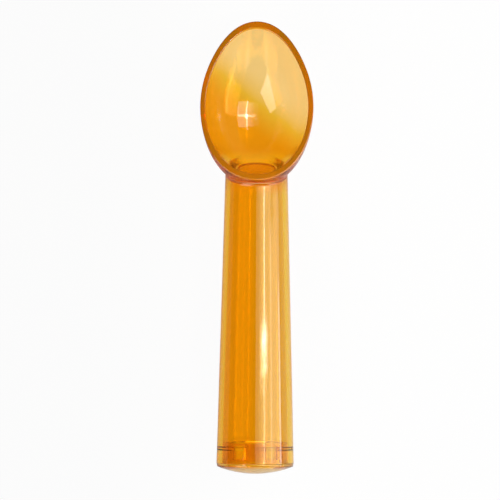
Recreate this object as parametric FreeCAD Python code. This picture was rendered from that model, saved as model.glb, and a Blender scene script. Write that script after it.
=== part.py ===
import FreeCAD, Part
import math
import os

# Ice cream scoop. One clear moulding is the egg-shaped bowl, the neck and the hollow
# tapered handle, and a domed plug snaps into the handle's open end.
#
# Millimetres. The scoop lies on its back, as on a table: +Z points up out of the bowl,
# +Y runs along the handle to the bowl's tip and +X is to the right. The origin is on the
# table, below the middle of the scoop's length.

# Bowl, as its lip is seen from above
bowl_half_width = 23.75
tip_reach = 36.0             # from the widest place to the tip, before its edge is rounded
heel_reach = 30.8            # from the widest place back to the heel, above the neck
tip_slim_fullness = 0.17     # how much the flanks run in towards the tip
tip_blunt_fullness = 0.11    # how much the tip itself is rounded out again
heel_fullness = 0.08         # how much the outline swells beside the heel

# Bowl, as seen from the side
lip_stand = 3.0              # the lip's heel stands this far above the handle's front
lip_tilt = 9.5               # degrees by which the lip's plane falls towards the tip
tip_cut_angle = 35.0         # the tip's wall is an ellipse cut this far above its widest
heel_cut_angle = -20.0       # outside, the wall still widens below the lip: the shoulders
deepest_shift = 4.0          # the deepest place lies this much nearer the heel than the widest
bowl_wall = 2.2
lip_width_at_tip = 3.1       # the wall is cut at a slant there, so its edge is wider
lip_edge_radius = 0.4

# Handle and neck
handle_length = 119.35       # from the open end to the heel of the lip
end_radius = 16.25           # at the open end
neck_radius = 13.15          # where the handle's taper would reach the heel
handle_wall = 2.2
mouth_edge_radius = 0.3
neck_fillet_radius = 2.0     # where the handle runs into the shoulders
run_in = 19.0                # the handle's taper goes on this far inside the bowl's form
core_end_wall = 1.7          # plastic left between the hollow's end and the bowl's inside
core_end_radius = 3.5        # the hollow's end is rounded off by this much

# End cap
flange_step = 0.2            # the flange is this much smaller than the handle's end
flange_side = 1.08           # height of the flange's straight side
flange_edge_radius = 0.8
dome_radius = 43.5
cap_wall = 1.8
skirt_length = 9.2
skirt_wall = 1.6
skirt_clearance = 0.1
skirt_chamfer = 0.5
bead_from_mouth = 6.45
bead_height = 0.15
bead_length = 2.0
bead_clearance = 0.1
window_count = 6
window_width = 5.6
window_length = 5.7
window_from_mouth = 2.0

# How finely the curved sections are drawn
ring_points = 24
bowl_slice_angles = (0, 9, 18, 27, 36, 45, 54, 63, 72, 80, 86)
angle_above_lip = -8         # one more slice above the lip, for the cut that hollows the bowl
edge_test_points = 5
same_place = 0.01

# Stations along the scoop and heights above the table
dome_rise = dome_radius - math.sqrt(dome_radius ** 2 - (end_radius - flange_step) ** 2)
overall_length = tip_reach + heel_reach + handle_length + flange_side + dome_rise
tip_y = overall_length / 2
widest_y = tip_y - tip_reach
heel_y = widest_y - heel_reach
mouth_y = heel_y - handle_length
cap_end_y = -overall_length / 2
axis_z = end_radius
heel_z = axis_z + neck_radius + lip_stand
lip_slope = math.tan(math.radians(lip_tilt))
handle_slope = (end_radius - neck_radius) / handle_length


def lip_z(y):
    return heel_z - (y - heel_y) * lip_slope


def handle_radius(y):
    return neck_radius + (heel_y - y) * handle_slope


def on_axis(radius, y):
    # A point of a turned profile, drawn in the plane X = radius
    return FreeCAD.Vector(radius, y, axis_z)


def turned(edges):
    # A solid of revolution about the handle's axis
    face = Part.Face(Part.Wire(edges))
    return face.revolve(FreeCAD.Vector(0, 0, axis_z), FreeCAD.Vector(0, 1, 0), 360)


def closed_curve(points):
    curve = Part.BSplineCurve()
    curve.interpolate(Points=points, PeriodicFlag=True)
    return Part.Wire(curve.toShape())


def rounded(solid, radius, picked):
    # Rounds each edge whose points all pass the test
    edges = [edge for edge in solid.Edges if not edge.Degenerated
             and all(picked(point) for point in edge.discretize(edge_test_points))]
    return solid.makeFillet(radius, edges)


def share_of_reach(height_share, cut_angle):
    # An upright ellipse's reach at a share of the height from its lowest point to its cut,
    # as a share of its reach at the cut. At 0 degrees it is cut at its widest, above 0 it
    # is cut lower and opens out at the lip, and below 0 it is cut higher and closes in.
    cut = math.radians(cut_angle)
    height_sine = 1 - (1 - math.sin(cut)) * height_share
    return math.sqrt(max(0.0, 1 - height_sine ** 2)) / math.cos(cut)


def egg_slice(half_width, tip, heel, height_share, floor_z):
    # One slice of the bowl. The lip is the slice at share 1, and lower slices turn from
    # the lip's tilt towards the table's level and draw back towards the deepest place.
    points = []
    middle_y = widest_y - deepest_shift * (1 - height_share)
    for step in range(ring_points):
        angle = 2 * math.pi * step / ring_points - math.pi / 2
        along = math.sin(angle)
        if along > 0:
            fullness = 1 - tip_slim_fullness * along ** 2 + tip_blunt_fullness * along ** 4
            y = middle_y + tip * along
        else:
            fullness = 1 + heel_fullness * along ** 2
            y = middle_y + heel * along
        x = half_width * math.cos(angle) * fullness
        z = floor_z + height_share * (lip_z(y) - floor_z)
        points.append(FreeCAD.Vector(x, y, z))
    return closed_curve(points)


def bowl_form(half_width, tip, heel, heel_cut, floor_z, slice_angles):
    # A solid egg-shaped bowl, from its lip down to its lowest point
    slices = []
    for slice_angle in slice_angles:
        share = 1 - math.sin(math.radians(slice_angle))
        slices.append(egg_slice(half_width * math.cos(math.radians(slice_angle)),
                                tip * share_of_reach(share, tip_cut_angle),
                                heel * share_of_reach(share, heel_cut),
                                share, floor_z))
    slices.append(Part.Vertex(FreeCAD.Vector(0, widest_y - deepest_shift, floor_z)))
    return Part.makeLoft(slices, True)


def bowl_outside():
    return bowl_form(bowl_half_width, tip_reach, heel_reach, heel_cut_angle, 0,
                     bowl_slice_angles)


def bowl_inside(growth=0):
    # The bowl's hollow, or with a growth the same form with that much plastic round it
    return bowl_form(bowl_half_width - bowl_wall + growth,
                     tip_reach - lip_width_at_tip + growth,
                     heel_reach - bowl_wall + growth, 0, bowl_wall - growth,
                     (angle_above_lip,) + bowl_slice_angles)


def handle_taper(wall):
    # A plain taper from the open end, run in under the bowl until it is lost in it
    length = handle_length + run_in
    return Part.makeCone(end_radius - wall, handle_radius(mouth_y + length) - wall, length,
                         on_axis(0, mouth_y), FreeCAD.Vector(0, 1, 0))


def handle_core():
    # The hollow goes on under the bowl's heel until the bowl's own wall stops it, and a
    # ring groove near its mouth takes the cap's bead
    core = handle_taper(handle_wall).cut(bowl_inside(core_end_wall)).Solids[0]
    core = rounded(core, core_end_radius,
                   lambda point: point.y > mouth_y + handle_length / 2
                   and abs(math.hypot(point.x, point.z - axis_z)
                           - handle_radius(point.y) + handle_wall) < same_place)
    return core.fuse(bead_ring(bead_clearance))


def skirt_radius(y):
    return handle_radius(y) - handle_wall - skirt_clearance


def bead_ring(clearance):
    # The cap's snap bead, or with a clearance the groove that takes it
    middle_y = mouth_y + bead_from_mouth
    base_radius = skirt_radius(middle_y) - bead_height
    half_length = bead_length / 2 + clearance
    low = on_axis(base_radius, middle_y - half_length)
    high = on_axis(base_radius, middle_y + half_length)
    crest_radius = skirt_radius(middle_y) + skirt_clearance + bead_height + clearance
    crest = Part.Arc(low, on_axis(crest_radius, middle_y), high)
    return turned([crest.toShape(), Part.makeLine(high, low)])


def scoop_body():
    handle = handle_taper(0)
    bowl = bowl_outside()
    outside = handle.fuse(bowl)
    meeting = handle.Faces[0].section(bowl.Shells[0])
    outside = rounded(outside, neck_fillet_radius,
                      lambda point: meeting.distToShape(Part.Vertex(point))[0] < same_place)
    body = outside.cut(bowl_inside()).cut(handle_core()).Solids[0]
    body = rounded(body, lip_edge_radius, lambda point: abs(point.z - lip_z(point.y)) < same_place)
    return rounded(body, mouth_edge_radius,
                   lambda point: abs(point.y - mouth_y) < same_place
                   and math.hypot(point.x, point.z - axis_z) > end_radius - same_place)


def end_cap():
    flange_radius = end_radius - flange_step
    dome_edge_y = mouth_y - flange_side
    top_y = mouth_y + skirt_length
    inner_radius = skirt_radius(top_y) - skirt_wall
    centre_y = cap_end_y + dome_radius
    inner_dome_radius = dome_radius - cap_wall

    def on_dome(radius, dome):
        return on_axis(radius, centre_y - math.sqrt(dome ** 2 - radius ** 2))

    inner_edge = on_dome(inner_radius, inner_dome_radius)
    corners = [
        on_axis(flange_radius, dome_edge_y),
        on_axis(flange_radius, mouth_y),
        on_axis(skirt_radius(mouth_y), mouth_y),
        on_axis(skirt_radius(top_y - skirt_chamfer), top_y - skirt_chamfer),
        on_axis(skirt_radius(top_y) - skirt_chamfer, top_y),
        on_axis(inner_radius, top_y),
        inner_edge,
    ]
    edges = [Part.makeLine(a, b) for a, b in zip(corners, corners[1:])]
    inner_apex = on_dome(0, inner_dome_radius)
    outer_apex = on_dome(0, dome_radius)
    edges.append(Part.Arc(inner_edge, on_dome(inner_radius / 2, inner_dome_radius),
                          inner_apex).toShape())
    edges.append(Part.makeLine(inner_apex, outer_apex))
    edges.append(Part.Arc(outer_apex, on_dome(flange_radius / 2, dome_radius),
                          on_dome(flange_radius, dome_radius)).toShape())
    cap = turned(edges).fuse(bead_ring(0))
    for window in range(window_count):
        turn = (window + 0.5) * 360 / window_count
        opening = Part.makeBox(window_width, window_length, end_radius,
                               FreeCAD.Vector(-window_width / 2,
                                              mouth_y + window_from_mouth, axis_z))
        opening.rotate(FreeCAD.Vector(0, 0, axis_z), FreeCAD.Vector(0, 1, 0), turn)
        cap = cap.cut(opening)
    return rounded(cap.Solids[0], flange_edge_radius,
                   lambda point: abs(point.y - dome_edge_y) < same_place)


os.makedirs("parts", exist_ok=True)
for name, make in (("scoop_body", scoop_body), ("end_cap", end_cap)):
    solid = make().Solids[0]
    solid.exportStep("parts/" + name + ".step")
    print(name, "valid", solid.isValid(), "volume", round(solid.Volume), "cubic mm")
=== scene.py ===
import math

import bpy
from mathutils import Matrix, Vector

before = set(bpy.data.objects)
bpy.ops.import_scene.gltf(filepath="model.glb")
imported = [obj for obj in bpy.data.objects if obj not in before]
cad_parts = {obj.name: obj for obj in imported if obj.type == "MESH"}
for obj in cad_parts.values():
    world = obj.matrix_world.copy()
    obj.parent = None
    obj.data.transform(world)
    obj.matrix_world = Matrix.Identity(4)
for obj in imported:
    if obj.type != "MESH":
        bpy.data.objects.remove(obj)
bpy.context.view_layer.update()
scene = bpy.context.scene
print("frame loaded")


def fromHex(text):
    # sRGB hex to the linear colour that Blender's sockets take
    values = [int(text[i:i + 2], 16) / 255 for i in (1, 3, 5)]
    return [v / 12.92 if v <= 0.04045 else ((v + 0.055) / 1.055) ** 2.4 for v in values] + [1.0]


def addNode(tree, kind, inputs=None, **settings):
    # One node with its settings. An input's value may be a socket, which is linked, or a hex
    # colour.
    node = tree.nodes.new(kind)
    for name, value in settings.items():
        setattr(node, name, value)
    for key, value in (inputs or {}).items():
        named = [i for i in node.inputs if i.name == key and i.enabled]
        socket = named[0] if named else node.inputs[key]
        if isinstance(value, bpy.types.NodeSocket):
            tree.links.new(value, socket)
        else:
            socket.default_value = fromHex(value) if isinstance(value, str) else value
    return node


def newMaterial(name):
    material = bpy.data.materials.new(name)
    material.use_nodes = True
    material.node_tree.nodes.clear()
    return material


# Transparent orange polystyrene, injection moulded and polished: it bends light like glass and
# shows clear reflections. Its dye deepens with thickness. On top of that its tint carries painted
# light and shade: paler towards the tip and the right flank, deeper at the bowl's floor, for the
# light the table throws up through the plastic from the right. The lip's flat edge is satin where
# it was trimmed, and so is the neck, where the core behind it ended.
plastic = {
    "ior": 1.59,
    "roughness": 0.05,
    "passed": "#fcc890",         # the dye, which light takes on as the plastic gets thicker
    "density": 100.0,            # per metre
    "handleTint": "#f0c319",     # what one wall lets through besides its thickness
    "rightLitTint": "#f1d31e",      # and on the handle's right, where it is painted paler as painted light
    "neckTint": "#fdc516",
    # painted reflection on the shoulders, white light over the orange
    "shoulderReflectionTint": "#fdf3e5",
    # painted light and shade: the bowl's tint is deepest at its floor and palest at its tip
    "floorTint": "#f09f09",
    "midTint": "#f1c235",
    "midAt": 0.5,                # share of the change from floor to tip
    "tipTint": "#fada8a",
    "neckFrom": 0.034,           # the handle's tint turns into the bowl's between these
    "neckTo": 0.041,             # stations along the scoop, in metres
    "paleFrom": 0.050,           # and the floor's into the tip's between these
    "paleTo": 0.078,
    "paleSlant": 0.75,           # how far that change leans back on the right flank
    "rightFrom": -0.003,         # metres across, where the handle's right begins
    "rightTo": 0.004,
    "shoulder": (0.0170, 0.0320, 0),     # middle of the painted reflection on the shoulder, seen from above
    "shoulderFrom": 0.0062,      # and how far round it the painted reflection reaches
    "shoulderTo": 0.0036,
    "satinAt": 0.034,            # the station of the satin neck
    "satinFrom": 0.013,          # and how far along it reaches to either side
    "satinTo": 0.004,
    "satinRoughness": 0.27,
    "paleEdgeScale": 60.0,           # noise that wobbles the painted light's edge, about 17 mm across
    "paleEdgeShift": 0.006,          # how far they shift the change, in metres
    "waveScale": 90.0,           # shallow sink marks, about 11 mm across
    "waveDepth": 0.00004,
    "lipTilt": 9.5,              # degrees
    "lipHeel": (0.02835, 0.0324),        # the lip's plane at its heel: along and up, in metres
    "lipFrom": -0.0008,          # height over that plane where the satin begins
    "lipTo": -0.0004,
    "lipTint": "#df9307",
    "lipClear": 0.40,            # share of the lip that is still clear
    "lipRoughness": 0.10,
}


def clearPlastic(name, settings):
    material = newMaterial(name)
    tree = material.node_tree
    place = addNode(tree, "ShaderNodeTexCoord").outputs["Object"]
    across, along, up = addNode(tree, "ShaderNodeSeparateXYZ", {0: place}).outputs

    # Painted light and shade: the bowl's tint is paler further towards the tip, and earlier on the
    # right flank, where light from the right comes through the plastic
    paleEdgeNoise = addNode(tree, "ShaderNodeTexNoise", {
        "Vector": place, "Scale": settings["paleEdgeScale"], "Detail": 1.0})
    leaning = addNode(tree, "ShaderNodeMath", {
        0: across, 1: settings["paleSlant"], 2: along}, operation="MULTIPLY_ADD")
    shifted = addNode(tree, "ShaderNodeMath", {
        0: paleEdgeNoise.outputs[0], 1: settings["paleEdgeShift"], 2: leaning.outputs[0]},
        operation="MULTIPLY_ADD")
    pale = addNode(tree, "ShaderNodeMapRange", {
        "Value": shifted.outputs[0], "From Min": settings["paleFrom"],
        "From Max": settings["paleTo"]}, interpolation_type="SMOOTHSTEP")
    bowlTint = addNode(tree, "ShaderNodeValToRGB", {"Fac": pale.outputs[0]})
    stops = bowlTint.color_ramp.elements
    stops[0].color = fromHex(settings["floorTint"])
    stops[1].color = fromHex(settings["tipTint"])
    stops.new(settings["midAt"]).color = fromHex(settings["midTint"])

    # Painted light: the handle is paler on its right, where more light reaches it, and ends in the
    # satin neck before the bowl's tint
    litOnRight = addNode(tree, "ShaderNodeMapRange", {
        "Value": across, "From Min": settings["rightFrom"], "From Max": settings["rightTo"]},
        interpolation_type="SMOOTHSTEP")
    handleTint = addNode(tree, "ShaderNodeMix", {
        "Factor": litOnRight.outputs[0], "A": settings["handleTint"], "B": settings["rightLitTint"]},
        data_type="RGBA")
    offNeck = addNode(tree, "ShaderNodeMath", {0: along, 1: settings["satinAt"]},
                      operation="SUBTRACT")
    fromNeck = addNode(tree, "ShaderNodeMath", {0: offNeck.outputs[0]}, operation="ABSOLUTE")
    satin = addNode(tree, "ShaderNodeMapRange", {
        "Value": fromNeck.outputs[0], "From Min": settings["satinFrom"],
        "From Max": settings["satinTo"]}, interpolation_type="SMOOTHSTEP")
    polish = addNode(tree, "ShaderNodeMapRange", {
        "Value": satin.outputs[0], "To Min": settings["roughness"],
        "To Max": settings["satinRoughness"]})
    neckTint = addNode(tree, "ShaderNodeMix", {
        "Factor": satin.outputs[0], "A": handleTint.outputs[2], "B": settings["neckTint"]},
        data_type="RGBA")
    inBowl = addNode(tree, "ShaderNodeMapRange", {
        "Value": along, "From Min": settings["neckFrom"], "From Max": settings["neckTo"]},
        interpolation_type="SMOOTHSTEP")
    bodyTint = addNode(tree, "ShaderNodeMix", {
        "Factor": inBowl.outputs[0], "A": neckTint.outputs[2], "B": bowlTint.outputs[0]},
        data_type="RGBA")

    # Painted reflection: both shoulders are paler still, standing in for the white light their
    # curved tops reflect
    aside = addNode(tree, "ShaderNodeMath", {0: across}, operation="ABSOLUTE")
    plan = addNode(tree, "ShaderNodeCombineXYZ", {"X": aside.outputs[0], "Y": along})
    fromShoulder = addNode(tree, "ShaderNodeVectorMath", {
        0: plan.outputs[0], 1: settings["shoulder"]}, operation="DISTANCE")
    onShoulderReflection = addNode(tree, "ShaderNodeMapRange", {
        "Value": fromShoulder.outputs["Value"], "From Min": settings["shoulderFrom"],
        "From Max": settings["shoulderTo"]}, interpolation_type="SMOOTHSTEP")
    sideTint = addNode(tree, "ShaderNodeMix", {
        "Factor": onShoulderReflection.outputs[0], "A": bodyTint.outputs[2],
        "B": settings["shoulderReflectionTint"]}, data_type="RGBA")

    # The satin of the lip's flat edge, by height over the lip's tilted plane
    slope = math.tan(math.radians(settings["lipTilt"]))
    overLip = addNode(tree, "ShaderNodeMath", {0: along, 1: slope, 2: up}, operation="MULTIPLY_ADD")
    plane = settings["lipHeel"][0] * slope + settings["lipHeel"][1]
    lip = addNode(tree, "ShaderNodeMapRange", {
        "Value": overLip.outputs[0], "From Min": plane + settings["lipFrom"],
        "From Max": plane + settings["lipTo"]}, interpolation_type="SMOOTHSTEP")
    tint = addNode(tree, "ShaderNodeMix", {
        "Factor": lip.outputs[0], "A": sideTint.outputs[2], "B": settings["lipTint"]},
        data_type="RGBA")
    clear = addNode(tree, "ShaderNodeMapRange", {
        "Value": lip.outputs[0], "To Min": 1.0, "To Max": settings["lipClear"]})
    rough = addNode(tree, "ShaderNodeMapRange", {
        "Value": lip.outputs[0], "To Min": polish.outputs[0],
        "To Max": settings["lipRoughness"]})

    wave = addNode(tree, "ShaderNodeTexNoise", {
        "Vector": place, "Scale": settings["waveScale"], "Detail": 0.0})
    sinks = addNode(tree, "ShaderNodeBump", {
        "Height": wave.outputs[0], "Distance": settings["waveDepth"]})
    shader = addNode(tree, "ShaderNodeBsdfPrincipled", {
        "Base Color": tint.outputs[2], "Roughness": rough.outputs[0], "IOR": settings["ior"],
        "Transmission Weight": clear.outputs[0], "Normal": sinks.outputs[0]})
    dye = addNode(tree, "ShaderNodeVolumeAbsorption", {
        "Color": settings["passed"], "Density": settings["density"]})
    addNode(tree, "ShaderNodeOutputMaterial", {
        "Surface": shader.outputs[0], "Volume": dye.outputs[0]})
    return material


# The cap comes from its own mould, with a paler shot and a duller polish, and carries the same
# painted light on its right
capPlastic = dict(plastic, roughness=0.15, handleTint="#fcea77", rightLitTint="#fced7d")
finishes = {
    "scoop_body": clearPlastic("orangePolystyreneMoulded", plastic),
    "end_cap": clearPlastic("orangePolystyreneCap", capPlastic),
}
for name, finish in finishes.items():
    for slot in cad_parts[name].material_slots:
        slot.material = finish
print("clear plastic on the scoop and its cap")

# Studio: a pale table, a square softbox right of overhead with its lamp showing through,
# a second one low at the front left, and white panels at the right and the front
studio = {
    "floorSize": 4.0,
    "floorDrop": 0.0003,         # keeps the table clear of the scoop's lowest point
    "tableWhite": "#f1efeb",
    "tableShade": "#8f8d8a",     # painted shade: the table's colour is darker on the left, away from the lamps
    "shadeFrom": 0.02,           # metres to the right, where its shade begins
    "shadeTo": -0.08,
    "whiteBehind": 0.96,         # share of plain white where the camera sees the table
    "whiteThrough": 0.93,        # and where it is seen through the plastic
    "roomLevel": 0.03,           # the dark studio that the plastic's gloss shows
    "roomThrough": 0.66,         # and its white walls, as light inside the plastic meets them
}

floorMesh = bpy.data.meshes.new("floor")
half = studio["floorSize"] / 2
floorMesh.from_pydata([(-half, -half, 0), (half, -half, 0), (half, half, 0), (-half, half, 0)],
                      [], [(0, 1, 2, 3)])
floor = bpy.data.objects.new("floor", floorMesh)
scene.collection.objects.link(floor)
floor.location.z = -studio["floorDrop"]
floorMaterial = newMaterial("paleStudioFloor")
tree = floorMaterial.node_tree
rays = addNode(tree, "ShaderNodeLightPath")
seenThrough = addNode(tree, "ShaderNodeMath", {
    0: rays.outputs["Is Transmission Ray"], 1: studio["whiteThrough"]}, operation="MULTIPLY")
whiteShare = addNode(tree, "ShaderNodeMath", {
    0: rays.outputs["Is Camera Ray"], 1: studio["whiteBehind"],
    2: seenThrough.outputs[0]}, operation="MULTIPLY_ADD")
across = addNode(tree, "ShaderNodeSeparateXYZ", {
    0: addNode(tree, "ShaderNodeTexCoord").outputs["Object"]}).outputs["X"]
unshaded = addNode(tree, "ShaderNodeMapRange", {
    "Value": across, "From Min": studio["shadeTo"], "From Max": studio["shadeFrom"]},
    interpolation_type="SMOOTHSTEP")
table = addNode(tree, "ShaderNodeMix", {
    "Factor": unshaded.outputs[0], "A": studio["tableShade"], "B": studio["tableWhite"]},
    data_type="RGBA")
lit = addNode(tree, "ShaderNodeBsdfDiffuse", {"Color": table.outputs[2]})
glow = addNode(tree, "ShaderNodeEmission", {"Color": "#ffffff", "Strength": 1.0})
mixed = addNode(tree, "ShaderNodeMixShader", {
    0: whiteShare.outputs[0], 1: lit.outputs[0], 2: glow.outputs[0]})
addNode(tree, "ShaderNodeOutputMaterial", {"Surface": mixed.outputs[0]})
floorMesh.materials.append(floorMaterial)

world = bpy.data.worlds.new("studioRoom")
world.use_nodes = True
tree = world.node_tree
tree.nodes.clear()
rays = addNode(tree, "ShaderNodeLightPath")
roomWhite = addNode(tree, "ShaderNodeMath", {
    0: rays.outputs["Is Transmission Ray"], 1: studio["roomThrough"],
    2: studio["roomLevel"]}, operation="MULTIPLY_ADD")
room = addNode(tree, "ShaderNodeBackground", {
    "Color": "#ffffff", "Strength": roomWhite.outputs[0]})
addNode(tree, "ShaderNodeOutputWorld", {"Surface": room.outputs[0]})
scene.world = world
print("table and room")

# The key softbox is graded, dimmer towards overhead, and its lamp and a fold show through.
# The bowl's own lamp and its cross hang close over it, where the handle doesn't show them.
softboxes = {
    # place, aim, width, height and the brightness of its face, where 1 is white
    "keySoftbox": ((0.501, 0.005, 1.10), (0, 0.005, 0), 0.86, 1.36, 0.35),
    "keySoftboxMiddle": ((0.591, 0.005, 1.044), (0, 0.005, 0), 0.84, 0.99, 0.55),
    "keySoftboxOuter": ((0.645, 0.005, 1.012), (0, 0.005, 0), 0.83, 0.85, 0.6),
    "keySoftboxEdge": ((0.688, 0.005, 0.983), (0, 0.005, 0), 0.82, 0.73, 0.6),
    "keyLampCore": ((0.545, 0.005, 1.055), (0, 0.005, 0), 0.016, 0.28, 16),
    "keyLampHalo": ((0.545, 0.005, 1.055), (0, 0.005, 0), 0.024, 0.52, 5),
    "keyFoldAlong": ((0.545, 0.005, 1.055), (0, 0.005, 0), 0.80, 0.06, 4),
    "bowlLampCore": ((0.1105, 0.0577, 0.2265), (0, 0.057, 0), 0.026, 0.026, 16),
    "bowlFoldAlong": ((0.1105, 0.0577, 0.2265), (0, 0.057, 0), 0.20, 0.010, 5),
    "bowlFoldAcross": ((0.1105, 0.0577, 0.2265), (0, 0.057, 0), 0.010, 0.20, 6),
    "frontLeftSoftbox": ((-0.74, -0.58, 0.85), (0, 0.05, 0), 0.90, 0.86, 2.8),
    "rightPanel": ((1.30, -0.457, 0.55), (0, -0.457, 0.1), 1.085, 1.0, 2.4),
    "rightStrip": ((1.25, -0.60, 0.19), (0, -0.60, 0), 1.25, 0.10, 4.0),
    "frontPanel": ((0, -1.5, 0.32), (0, 0.05, 0), 2.8, 0.62, 2.2),
}
for name, (place, aim, width, height, level) in softboxes.items():
    light = bpy.data.lights.new(name, "AREA")
    light.shape = "RECTANGLE"
    light.size = width
    light.size_y = height
    light.energy = level * width * height * math.pi
    lamp = bpy.data.objects.new(name, light)
    lamp.location = place
    lamp.rotation_euler = (Vector(aim) - Vector(place)).to_track_quat("-Z", "Y").to_euler()
    lamp.visible_camera = False
    scene.collection.objects.link(lamp)
print("softboxes and panels")

overhead = {
    "lens": 597,                             # mm, so the scoop fills the frame from far above
    "sensor": 36,
    "place": (-0.00258, -0.00119, 3.5),
    "turn": 0.28,                            # degrees
    "seesTo": 20,                            # metres
}
camera = bpy.data.cameras.new("camera")
camera.lens = overhead["lens"]
camera.sensor_width = overhead["sensor"]
camera.clip_end = overhead["seesTo"]
view = bpy.data.objects.new("camera", camera)
view.location = overhead["place"]
view.rotation_euler = (0, 0, math.radians(overhead["turn"]))
scene.collection.objects.link(view)
scene.camera = view
scene.view_settings.view_transform = "Standard"
scene.cycles.max_bounces = 48            # light runs a long way inside a clear wall
scene.cycles.glossy_bounces = 40
scene.cycles.transmission_bounces = 40
scene.cycles.volume_bounces = 2
print("camera from overhead")
